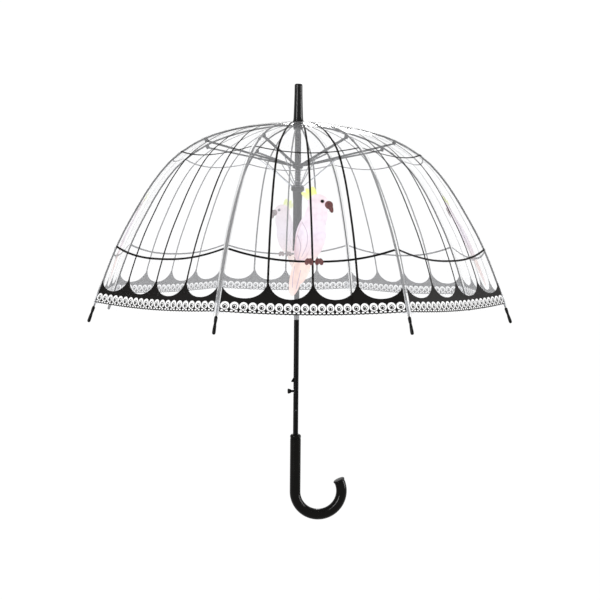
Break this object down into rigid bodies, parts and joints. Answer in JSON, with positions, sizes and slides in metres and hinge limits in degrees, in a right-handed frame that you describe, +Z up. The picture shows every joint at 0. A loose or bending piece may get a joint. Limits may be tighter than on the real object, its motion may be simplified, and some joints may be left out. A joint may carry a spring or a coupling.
{
  "type": "dome umbrella",
  "caption": "Clear deep-dome stick umbrella with folding ribs, twin sliding runners, opening spring, push-button catch and hook handle.",
  "frame": {"origin": "on the shaft axis inside the straight grip, 61 mm below the top of the handle", "axes": "+Z up along the shaft to the ferrule, +X the way the hook curls, -Y out of the middle of the front panel; shown open"},
  "size_m": [0.757, 0.757, 0.8413],
  "materials": {
    "clear_pvc_film": "smooth clear plastic film with a printed pattern",
    "black_painted_steel": "semi-gloss black paint",
    "black_plastic": "gloss",
    "bright_steel": "satin zinc",
    "handle_plastic": "polished"
  },
  "bodies": {
    "shaft": {"shaft_tube": "black_painted_steel", "ferrule": "black_plastic", "crown": "black_plastic", "crown_tie_wire": "bright_steel", "stop_pin": "bright_steel", "catch_pin": "bright_steel", "handle": "handle_plastic", "handle_collar": "handle_plastic", "handle_end_cap": "handle_plastic", "canopy_film": "clear_pvc_film"},
    "rib_1": {"inner_rib_1": "black_painted_steel"},
    "rib_end_1": {"outer_rib_1": "black_painted_steel", "rib_tip_1": "black_plastic"},
    "stretcher_1": {"stretcher_1": "black_painted_steel"},
    "pull_wire_1": {"pull_wire_1": "bright_steel"},
    "rib_2": {"inner_rib_2": "black_painted_steel"},
    "rib_end_2": {"outer_rib_2": "black_painted_steel", "rib_tip_2": "black_plastic"},
    "stretcher_2": {"stretcher_2": "black_painted_steel"},
    "pull_wire_2": {"pull_wire_2": "bright_steel"},
    "rib_3": {"inner_rib_3": "black_painted_steel"},
    "rib_end_3": {"outer_rib_3": "black_painted_steel", "rib_tip_3": "black_plastic"},
    "stretcher_3": {"stretcher_3": "black_painted_steel"},
    "pull_wire_3": {"pull_wire_3": "bright_steel"},
    "rib_4": {"inner_rib_4": "black_painted_steel"},
    "rib_end_4": {"outer_rib_4": "black_painted_steel", "rib_tip_4": "black_plastic"},
    "stretcher_4": {"stretcher_4": "black_painted_steel"},
    "pull_wire_4": {"pull_wire_4": "bright_steel"},
    "rib_5": {"inner_rib_5": "black_painted_steel"},
    "rib_end_5": {"outer_rib_5": "black_painted_steel", "rib_tip_5": "black_plastic"},
    "stretcher_5": {"stretcher_5": "black_painted_steel"},
    "pull_wire_5": {"pull_wire_5": "bright_steel"},
    "rib_6": {"inner_rib_6": "black_painted_steel"},
    "rib_end_6": {"outer_rib_6": "black_painted_steel", "rib_tip_6": "black_plastic"},
    "stretcher_6": {"stretcher_6": "black_painted_steel"},
    "pull_wire_6": {"pull_wire_6": "bright_steel"},
    "rib_7": {"inner_rib_7": "black_painted_steel"},
    "rib_end_7": {"outer_rib_7": "black_painted_steel", "rib_tip_7": "black_plastic"},
    "stretcher_7": {"stretcher_7": "black_painted_steel"},
    "pull_wire_7": {"pull_wire_7": "bright_steel"},
    "rib_8": {"inner_rib_8": "black_painted_steel"},
    "rib_end_8": {"outer_rib_8": "black_painted_steel", "rib_tip_8": "black_plastic"},
    "stretcher_8": {"stretcher_8": "black_painted_steel"},
    "pull_wire_8": {"pull_wire_8": "bright_steel"},
    "upper_runner": {"upper_runner": "black_plastic", "upper_tie_wire": "bright_steel", "opening_spring": "bright_steel"},
    "lower_runner": {"lower_runner": "black_plastic", "lower_tie_wire": "bright_steel"},
    "catch": {"catch_lever": "bright_steel", "push_button": "black_plastic"}
  },
  "joints": [
    {"name": "umbrella_fold", "type": "hinge", "parent": "shaft", "child": "rib_1", "pos_m": [0.00329, -0.00795, 0.655], "axis": [0.9239, 0.3827, 0], "range_deg": [0, 70.87], "stiffness_Nm_per_rad": 1.5, "springref_deg": -114.59},
    {"name": "rib_1_flex", "type": "hinge", "parent": "rib_1", "child": "rib_end_1", "pos_m": [0.08094, -0.19542, 0.60985], "axis": [0.9239, 0.3827, 0], "range_deg": [-43.5, 0.5]},
    {"name": "stretcher_1_hinge", "type": "hinge", "parent": "rib_1", "child": "stretcher_1", "pos_m": [0.07134, -0.17224, 0.61679], "axis": [0.9239, 0.3827, 0], "range_deg": [-142.24, 0.5]},
    {"name": "pull_wire_1_hinge", "type": "hinge", "parent": "stretcher_1", "child": "pull_wire_1", "pos_m": [0.03032, -0.07319, 0.59264], "axis": [0.9239, 0.3827, 0], "range_deg": [-0.5, 24.57]},
    {"name": "rib_2_fold", "type": "hinge", "parent": "shaft", "child": "rib_2", "pos_m": [0.00795, -0.00329, 0.655], "axis": [0.3827, 0.9239, 0], "range_deg": [-0.5, 71.37]},
    {"name": "rib_2_flex", "type": "hinge", "parent": "rib_2", "child": "rib_end_2", "pos_m": [0.19542, -0.08094, 0.60985], "axis": [0.3827, 0.9239, 0], "range_deg": [-43.5, 0.5]},
    {"name": "stretcher_2_hinge", "type": "hinge", "parent": "rib_2", "child": "stretcher_2", "pos_m": [0.17224, -0.07134, 0.61679], "axis": [0.3827, 0.9239, 0], "range_deg": [-142.24, 0.5]},
    {"name": "pull_wire_2_hinge", "type": "hinge", "parent": "stretcher_2", "child": "pull_wire_2", "pos_m": [0.07319, -0.03032, 0.59264], "axis": [0.3827, 0.9239, 0], "range_deg": [-0.5, 24.57]},
    {"name": "rib_3_fold", "type": "hinge", "parent": "shaft", "child": "rib_3", "pos_m": [0.00795, 0.00329, 0.655], "axis": [-0.3827, 0.9239, 0], "range_deg": [-0.5, 71.37]},
    {"name": "rib_3_flex", "type": "hinge", "parent": "rib_3", "child": "rib_end_3", "pos_m": [0.19542, 0.08094, 0.60985], "axis": [-0.3827, 0.9239, 0], "range_deg": [-43.5, 0.5]},
    {"name": "stretcher_3_hinge", "type": "hinge", "parent": "rib_3", "child": "stretcher_3", "pos_m": [0.17224, 0.07134, 0.61679], "axis": [-0.3827, 0.9239, 0], "range_deg": [-142.24, 0.5]},
    {"name": "pull_wire_3_hinge", "type": "hinge", "parent": "stretcher_3", "child": "pull_wire_3", "pos_m": [0.07319, 0.03032, 0.59264], "axis": [-0.3827, 0.9239, 0], "range_deg": [-0.5, 24.57]},
    {"name": "rib_4_fold", "type": "hinge", "parent": "shaft", "child": "rib_4", "pos_m": [0.00329, 0.00795, 0.655], "axis": [-0.9239, 0.3827, 0], "range_deg": [-0.5, 71.37]},
    {"name": "rib_4_flex", "type": "hinge", "parent": "rib_4", "child": "rib_end_4", "pos_m": [0.08094, 0.19542, 0.60985], "axis": [-0.9239, 0.3827, 0], "range_deg": [-43.5, 0.5]},
    {"name": "stretcher_4_hinge", "type": "hinge", "parent": "rib_4", "child": "stretcher_4", "pos_m": [0.07134, 0.17224, 0.61679], "axis": [-0.9239, 0.3827, 0], "range_deg": [-142.24, 0.5]},
    {"name": "pull_wire_4_hinge", "type": "hinge", "parent": "stretcher_4", "child": "pull_wire_4", "pos_m": [0.03032, 0.07319, 0.59264], "axis": [-0.9239, 0.3827, 0], "range_deg": [-0.5, 24.57]},
    {"name": "rib_5_fold", "type": "hinge", "parent": "shaft", "child": "rib_5", "pos_m": [-0.00329, 0.00795, 0.655], "axis": [-0.9239, -0.3827, 0], "range_deg": [-0.5, 71.37]},
    {"name": "rib_5_flex", "type": "hinge", "parent": "rib_5", "child": "rib_end_5", "pos_m": [-0.08094, 0.19542, 0.60985], "axis": [-0.9239, -0.3827, 0], "range_deg": [-43.5, 0.5]},
    {"name": "stretcher_5_hinge", "type": "hinge", "parent": "rib_5", "child": "stretcher_5", "pos_m": [-0.07134, 0.17224, 0.61679], "axis": [-0.9239, -0.3827, 0], "range_deg": [-142.24, 0.5]},
    {"name": "pull_wire_5_hinge", "type": "hinge", "parent": "stretcher_5", "child": "pull_wire_5", "pos_m": [-0.03032, 0.07319, 0.59264], "axis": [-0.9239, -0.3827, 0], "range_deg": [-0.5, 24.57]},
    {"name": "rib_6_fold", "type": "hinge", "parent": "shaft", "child": "rib_6", "pos_m": [-0.00795, 0.00329, 0.655], "axis": [-0.3827, -0.9239, 0], "range_deg": [-0.5, 71.37]},
    {"name": "rib_6_flex", "type": "hinge", "parent": "rib_6", "child": "rib_end_6", "pos_m": [-0.19542, 0.08094, 0.60985], "axis": [-0.3827, -0.9239, 0], "range_deg": [-43.5, 0.5]},
    {"name": "stretcher_6_hinge", "type": "hinge", "parent": "rib_6", "child": "stretcher_6", "pos_m": [-0.17224, 0.07134, 0.61679], "axis": [-0.3827, -0.9239, 0], "range_deg": [-142.24, 0.5]},
    {"name": "pull_wire_6_hinge", "type": "hinge", "parent": "stretcher_6", "child": "pull_wire_6", "pos_m": [-0.07319, 0.03032, 0.59264], "axis": [-0.3827, -0.9239, 0], "range_deg": [-0.5, 24.57]},
    {"name": "rib_7_fold", "type": "hinge", "parent": "shaft", "child": "rib_7", "pos_m": [-0.00795, -0.00329, 0.655], "axis": [0.3827, -0.9239, 0], "range_deg": [-0.5, 71.37]},
    {"name": "rib_7_flex", "type": "hinge", "parent": "rib_7", "child": "rib_end_7", "pos_m": [-0.19542, -0.08094, 0.60985], "axis": [0.3827, -0.9239, 0], "range_deg": [-43.5, 0.5]},
    {"name": "stretcher_7_hinge", "type": "hinge", "parent": "rib_7", "child": "stretcher_7", "pos_m": [-0.17224, -0.07134, 0.61679], "axis": [0.3827, -0.9239, 0], "range_deg": [-142.24, 0.5]},
    {"name": "pull_wire_7_hinge", "type": "hinge", "parent": "stretcher_7", "child": "pull_wire_7", "pos_m": [-0.07319, -0.03032, 0.59264], "axis": [0.3827, -0.9239, 0], "range_deg": [-0.5, 24.57]},
    {"name": "rib_8_fold", "type": "hinge", "parent": "shaft", "child": "rib_8", "pos_m": [-0.00329, -0.00795, 0.655], "axis": [0.9239, -0.3827, 0], "range_deg": [-0.5, 71.37]},
    {"name": "rib_8_flex", "type": "hinge", "parent": "rib_8", "child": "rib_end_8", "pos_m": [-0.08094, -0.19542, 0.60985], "axis": [0.9239, -0.3827, 0], "range_deg": [-43.5, 0.5]},
    {"name": "stretcher_8_hinge", "type": "hinge", "parent": "rib_8", "child": "stretcher_8", "pos_m": [-0.07134, -0.17224, 0.61679], "axis": [0.9239, -0.3827, 0], "range_deg": [-142.24, 0.5]},
    {"name": "pull_wire_8_hinge", "type": "hinge", "parent": "stretcher_8", "child": "pull_wire_8", "pos_m": [-0.03032, -0.07319, 0.59264], "axis": [0.9239, -0.3827, 0], "range_deg": [-0.5, 24.57]},
    {"name": "upper_runner_hinge", "type": "hinge", "parent": "stretcher_1", "child": "upper_runner", "pos_m": [0.00329, -0.00795, 0.57859], "axis": [0.9239, 0.3827, 0], "range_deg": [-0.5, 71.37]},
    {"name": "lower_runner_slide", "type": "slide", "parent": "upper_runner", "child": "lower_runner", "axis": [0, 0, 1], "range_m": [-0.001, 0.02517], "deforming": ["opening_spring", "canopy_film", "catch_lever"]},
    {"name": "push_button_press", "type": "hinge", "parent": "shaft", "child": "catch", "pos_m": [0, 0, 0.108], "axis": [0, 1, 0], "range_deg": [0, 5.2], "stiffness_Nm_per_rad": 0.5, "springref_deg": -5.73}
  ],
  "couplings": [
    {"joint": "rib_1_flex", "follows": "umbrella_fold", "ratio": -0.60674},
    {"joint": "stretcher_1_hinge", "follows": "umbrella_fold", "ratio": -2},
    {"joint": "pull_wire_1_hinge", "follows": "umbrella_fold", "ratio": 0.33959},
    {"joint": "rib_2_fold", "follows": "umbrella_fold", "ratio": 1},
    {"joint": "rib_2_flex", "follows": "umbrella_fold", "ratio": -0.60674},
    {"joint": "stretcher_2_hinge", "follows": "umbrella_fold", "ratio": -2},
    {"joint": "pull_wire_2_hinge", "follows": "umbrella_fold", "ratio": 0.33959},
    {"joint": "rib_3_fold", "follows": "umbrella_fold", "ratio": 1},
    {"joint": "rib_3_flex", "follows": "umbrella_fold", "ratio": -0.60674},
    {"joint": "stretcher_3_hinge", "follows": "umbrella_fold", "ratio": -2},
    {"joint": "pull_wire_3_hinge", "follows": "umbrella_fold", "ratio": 0.33959},
    {"joint": "rib_4_fold", "follows": "umbrella_fold", "ratio": 1},
    {"joint": "rib_4_flex", "follows": "umbrella_fold", "ratio": -0.60674},
    {"joint": "stretcher_4_hinge", "follows": "umbrella_fold", "ratio": -2},
    {"joint": "pull_wire_4_hinge", "follows": "umbrella_fold", "ratio": 0.33959},
    {"joint": "rib_5_fold", "follows": "umbrella_fold", "ratio": 1},
    {"joint": "rib_5_flex", "follows": "umbrella_fold", "ratio": -0.60674},
    {"joint": "stretcher_5_hinge", "follows": "umbrella_fold", "ratio": -2},
    {"joint": "pull_wire_5_hinge", "follows": "umbrella_fold", "ratio": 0.33959},
    {"joint": "rib_6_fold", "follows": "umbrella_fold", "ratio": 1},
    {"joint": "rib_6_flex", "follows": "umbrella_fold", "ratio": -0.60674},
    {"joint": "stretcher_6_hinge", "follows": "umbrella_fold", "ratio": -2},
    {"joint": "pull_wire_6_hinge", "follows": "umbrella_fold", "ratio": 0.33959},
    {"joint": "rib_7_fold", "follows": "umbrella_fold", "ratio": 1},
    {"joint": "rib_7_flex", "follows": "umbrella_fold", "ratio": -0.60674},
    {"joint": "stretcher_7_hinge", "follows": "umbrella_fold", "ratio": -2},
    {"joint": "pull_wire_7_hinge", "follows": "umbrella_fold", "ratio": 0.33959},
    {"joint": "rib_8_fold", "follows": "umbrella_fold", "ratio": 1},
    {"joint": "rib_8_flex", "follows": "umbrella_fold", "ratio": -0.60674},
    {"joint": "stretcher_8_hinge", "follows": "umbrella_fold", "ratio": -2},
    {"joint": "pull_wire_8_hinge", "follows": "umbrella_fold", "ratio": 0.33959},
    {"joint": "upper_runner_hinge", "follows": "umbrella_fold", "ratio": 1},
    {"joint": "lower_runner_slide", "follows": "umbrella_fold", "m_per_rad": 0.019544}
  ]
}
